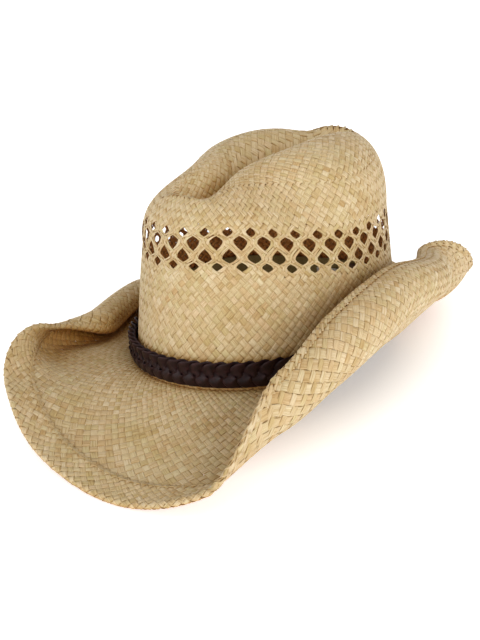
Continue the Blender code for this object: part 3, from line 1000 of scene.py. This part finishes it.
def stage():
    """A plain pale floor with a painted glow, which also lights the hat a little from below: bright away from
    the hat, so that the floor stays white and its shadow faint, and faint under the hat. And a sky that is
    brightest low down.
    """
    mesh = bpy.data.meshes.new("floor")
    corners = ((-1, -1), (1, -1), (1, 1), (-1, 1))
    points = [(x * FLOOR_HALF, y * FLOOR_HALF, CAD_BOX[0][2]) for x, y in corners]
    mesh.from_pydata(points, [], [(0, 1, 2, 3)])
    floor = bpy.data.objects.new("floor", mesh)
    bpy.context.scene.collection.objects.link(floor)
    material, tree, shader = new_material("floor")
    shader.inputs["Base Color"].default_value = (0.93, 0.93, 0.93, 1)
    shader.inputs["Roughness"].default_value = 0.9
    shader.inputs["Specular IOR Level"].default_value = 0.1
    # The painted glow stays faint under the hat, inside an ellipse, so the floor is darker there.
    x, y, _ = parts_of(tree, position(tree))
    across = math_node(tree, "POWER", times(tree, x, GLOW_X), 2.0)
    along = math_node(tree, "POWER", times(tree, y, GLOW_Y), 2.0)
    far = math_node(tree, "ADD", across, along)
    painted_glow = ramp(tree, far, [(0.14, (0.14, 0.14, 0.14)), (0.34, (0.42, 0.42, 0.42))])
    tree.links.new(painted_glow, shader.inputs["Emission Color"])
    shader.inputs["Emission Strength"].default_value = 1.0
    mesh.materials.append(material)
    world = bpy.data.worlds.new("studio")
    bpy.context.scene.world = world
    world.use_nodes = True
    tree = world.node_tree
    back = tree.nodes["Background"]
    height = parts_of(tree, node(tree, "ShaderNodeTexCoord").outputs["Generated"])[2]
    sky = ramp(tree, height, [(0.20, WHITE), (0.55, (0.46, 0.46, 0.47))])
    tree.links.new(sky, back.inputs["Color"])
    back.inputs["Strength"].default_value = 1.0


def area_light(name, place, aim, size, power, colour):
    """A round soft light that faces the point aim."""
    data = bpy.data.lights.new(name, "AREA")
    data.shape = "DISK"
    data.size = size
    data.energy = power
    data.color = colour
    lamp = bpy.data.objects.new(name, data)
    lamp.location = place
    lamp.rotation_mode = "QUATERNION"
    lamp.rotation_quaternion = (Vector(aim) - Vector(place)).to_track_quat("-Z", "Y")
    bpy.context.scene.collection.objects.link(lamp)


def make_camera():
    """The photo's viewing angle, turned with the hat as it rests."""
    a, e, r = CAMERA_AROUND, CAMERA_UP, CAMERA_ROLL
    back = Vector((np.sin(a) * np.cos(e), -np.cos(a) * np.cos(e), np.sin(e)))
    flat = Vector((np.cos(a), np.sin(a), 0))
    high = back.cross(flat)
    right = np.cos(r) * flat + np.sin(r) * high
    up = -np.sin(r) * flat + np.cos(r) * high
    axes = TURN @ Matrix((right, up, back)).transposed()
    data = bpy.data.cameras.new("camera")
    data.lens = CAMERA_LENS
    data.sensor_width = 36
    data.shift_x = SHIFT_X
    data.shift_y = SHIFT_Y
    data.clip_start = 0.01
    camera = bpy.data.objects.new("camera", data)
    camera.matrix_world = Matrix.Translation(HEAD + TURN @ (back * CAMERA_FAR)) @ axes.to_4x4()
    bpy.context.scene.collection.objects.link(camera)
    bpy.context.scene.camera = camera


# The sewn and braided pieces.
def braid(leather):
    """Three wide straps, each crossing from edge to edge and lying over its neighbour at the top."""
    count = BRAID_PERIODS * STRAP_STEPS
    t = np.arange(count) / count * 2 * np.pi
    for number in range(3):
        group = Straws(f"hatband_strap_{number + 1}", STRAP)
        phase = BRAID_PERIODS * t + number * 2 * np.pi / 3 + np.pi / 6
        height = BRAID_Z + STRAP_SWING * (np.sin(phase) + 0.08 * np.sin(3 * phase))
        lift = STRAP_OUT + STRAP_LIFT * (np.sin(2 * phase) + 0.35 * np.sin(phase))
        places = off_wall(t, lift, height)
        out = flat_outward(t)
        direction = unit(np.roll(places, -1, 0) - np.roll(places, 1, 0))
        side = unit(np.cross(out, direction))
        tilt = STRAP_TILT * np.cos(2 * phase + 0.6)
        normal = unit(out * np.cos(tilt)[:, None] + side * np.sin(tilt)[:, None])
        width = STRAP_W * (1 - 0.08 * np.abs(np.cos(phase)))
        tone = 0.2 + 0.3 * number
        group.add(closed(places), closed(direction), closed(normal), closed(width), STRAP_T, tone)
        piece = group.make(leather, "hatband", "hatband_leather")
        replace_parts(piece, f"hatband_strand_{number + 1}")


def stitches(name, place, up, material, slot, nodes, *, count, share, thick, lift):
    """Single stitches in a line: each rises from its hole, lies along the line and goes in again."""
    group = Straws(name, [(np.cos(a), np.sin(a)) for a in np.arange(6) / 6 * 2 * np.pi])
    step = 2 * np.pi / count
    for number in range(count):
        t = (number + np.linspace(-share, share, STITCH_STEPS) / 2) * step
        full = 1 - np.linspace(-1, 1, STITCH_STEPS) ** 4
        middle = place(t, lift * full)
        direction = unit(np.gradient(middle, axis=0))
        normal = unit(up(t))
        normal = unit(normal - (normal * direction).sum(-1, keepdims=True) * direction)
        width = thick * (0.55 + 0.45 * np.sqrt(np.clip(full, 0, 1)))
        group.add(middle, direction, normal, width, thick, rng.random())
    piece = group.make(material, "hat", slot)
    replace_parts(piece, *nodes)


def hem_stitches(material):
    """The line of stitches that holds the hem, on top of the brim."""

    def place(t, hump):
        w = brim_w(t) / 1000
        return brim_profile(t, w - THREAD_IN, HEM_ROUND - BRIM_T / 2 + HEM_STITCH_UP + hump)

    def up(t):
        return place(t, 0.001 + 0 * t) - place(t, 0 * t)

    sizes = {"count": 250, "share": 0.72, "thick": 0.00055, "lift": 0.00055}
    stitches("hem_stitches", place, up, material, "straw_thread", ["hem_thread"], **sizes)


def band_ring(name, section, steps, material, nodes):
    """A closed ring inside the crown, its section given as distance out from the wall and height."""
    t = np.arange(steps) / steps * 2 * np.pi
    rows = [off_wall(t, out, height) for out, height in section]
    points = placed(np.stack(rows, 1).reshape(-1, 3))
    corners = len(section)
    faces = []
    for i in range(steps):
        for j in range(corners):
            k, n = (j + 1) % corners, (i + 1) % steps
            faces.append((i * corners + j, i * corners + k, n * corners + k, n * corners + j))
    mesh = bpy.data.meshes.new(name)
    mesh.from_pydata(points.tolist(), [], faces)
    mesh.update()
    mesh.shade_smooth()
    piece = bpy.data.objects.new(name, mesh)
    bpy.context.scene.collection.objects.link(piece)
    mesh.materials.append(material)
    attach(piece, "hat")
    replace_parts(piece, *nodes)


def sweatband(cloth, thread):
    """Cloth folded over at its top and its foot, so that both edges are thicker than the middle."""
    outer = -CROWN_T - SWEAT_GAP
    inner = outer - SWEAT_T
    heights = np.linspace(0.0, SWEAT_H - 0.0006, 15)
    foot = np.exp(-((heights - 0.0015) / CLOTH_REACH) ** 2)
    top = np.exp(-((heights - SWEAT_H + 0.0025) / CLOTH_REACH) ** 2)
    roll = CLOTH_SWELL * (foot + top)
    # The section goes up the inner side, over the top and down behind. Small steps round its corners.
    front = [(inner - r + 0.0002, h) for h, r in zip(heights, roll)]
    crest = [(inner + 0.0003, SWEAT_H - 0.0001), (outer - 0.0004, SWEAT_H)]
    back = [(outer, SWEAT_H - 0.0008), (outer, 0.0), (outer - 0.0004, -0.0009), (inner + 0.0003, -0.0009)]
    section = front + crest + back
    band_ring("sweatband_cloth", section, CLOTH_STEPS, cloth, ["sweatband"])

    def place(t, hump):
        return off_wall(t, inner - 0.0002 - hump, STITCH_Z + 0 * t)

    def up(t):
        return -flat_outward(t)

    sizes = {"count": 190, "share": 0.7, "thick": 0.0005, "lift": 0.0004}
    stitches("sweatband_stitches", place, up, thread, "thread", ["sweatband_thread"], **sizes)


def squared(v):
    """A wave drawn out towards a square one, for a loop with rounded corners."""
    return np.sign(v) * np.abs(v) ** KEEPER_SQUARE


def keeper(leather):
    """A leather loop round the braid, with rounded edges."""
    group = Straws("hatband_loop", STRAP)
    half_h = KEEPER_HALF_H + KEEPER_T / 2
    half_d = (KEEPER_OUT + KEEPER_T / 2 - KEEPER_BACK) / 2
    a = np.linspace(0, 2 * np.pi, KEEPER_STEPS)
    out = KEEPER_NEAR + half_d + half_d * squared(np.sin(a)) * KEEPER_SHRINK_OUT
    height = BRAID_Z + half_h * squared(np.cos(a)) * KEEPER_SHRINK_UP
    middle = off_wall(np.pi + 0 * a, out, height)
    direction = unit(np.gradient(middle, axis=0))
    direction[0] = direction[-1] = unit(middle[1] - middle[-2])
    aside = np.tile([1.0, 0.0, 0.0], (len(a), 1))
    normal = unit(np.cross(direction, aside))
    core = middle.mean(0)
    normal *= np.sign((normal * (middle - core)).sum(-1, keepdims=True))
    group.add(middle, direction, normal, np.full(len(a), 2 * KEEPER_HALF_W), KEEPER_T, 0.7)
    piece = group.make(leather, "hatband", "hatband_leather")
    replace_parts(piece, "hatband_keeper")


make_camera()
stage()
area_light("key", (1.9, -0.6, 1.05), LIGHT_AIM, size=1.2, power=17, colour=(1.0, 0.99, 0.97))
area_light("fill", (-1.0, -1.8, 0.9), LIGHT_AIM, size=1.6, power=9, colour=WHITE)
bpy.context.scene.view_settings.view_transform = "Standard"
bpy.context.scene.view_settings.look = "Medium High Contrast"

straw = straw_material("straw")
hem_straw = straw_material("straw_hem")
leather = leather_material()
cloth = cloth_material("sweatband_cloth", (0.34, 0.27, 0.125), (0.27, 0.21, 0.085), 0.0009)
weave_crown(straw)
weave_brim(straw, hem_straw)
hem_stitches(thread_material("straw_thread", (0.62, 0.47, 0.25), (0.42, 0.29, 0.12)))
braid(leather)
keeper(leather)
sweatband(cloth, thread_material("band_thread", (0.70, 0.62, 0.42), (0.48, 0.40, 0.24)))
reed_stops = [(0.3, (0.45, 0.36, 0.22)), (0.7, (0.62, 0.53, 0.36))]
tab_stops = [(0.3, (0.10, 0.055, 0.028)), (0.7, (0.17, 0.10, 0.055))]
wire_stops = [(0.3, (0.40, 0.40, 0.42)), (0.7, (0.60, 0.60, 0.62))]
dress("sweatband_reed", fine_material("reed", reed_stops, 700.0, 0.6))
dress("sweatband_seam_tab", fine_material("tab_leather", tab_stops, 900.0, 0.6))
dress("size_label", cloth_material("label", (0.80, 0.79, 0.74), (0.72, 0.71, 0.66), 0.0006))
dress("brim_wire", fine_material("wire", wire_stops, 500.0, 0.35, metal=1.0, strength=0.1))
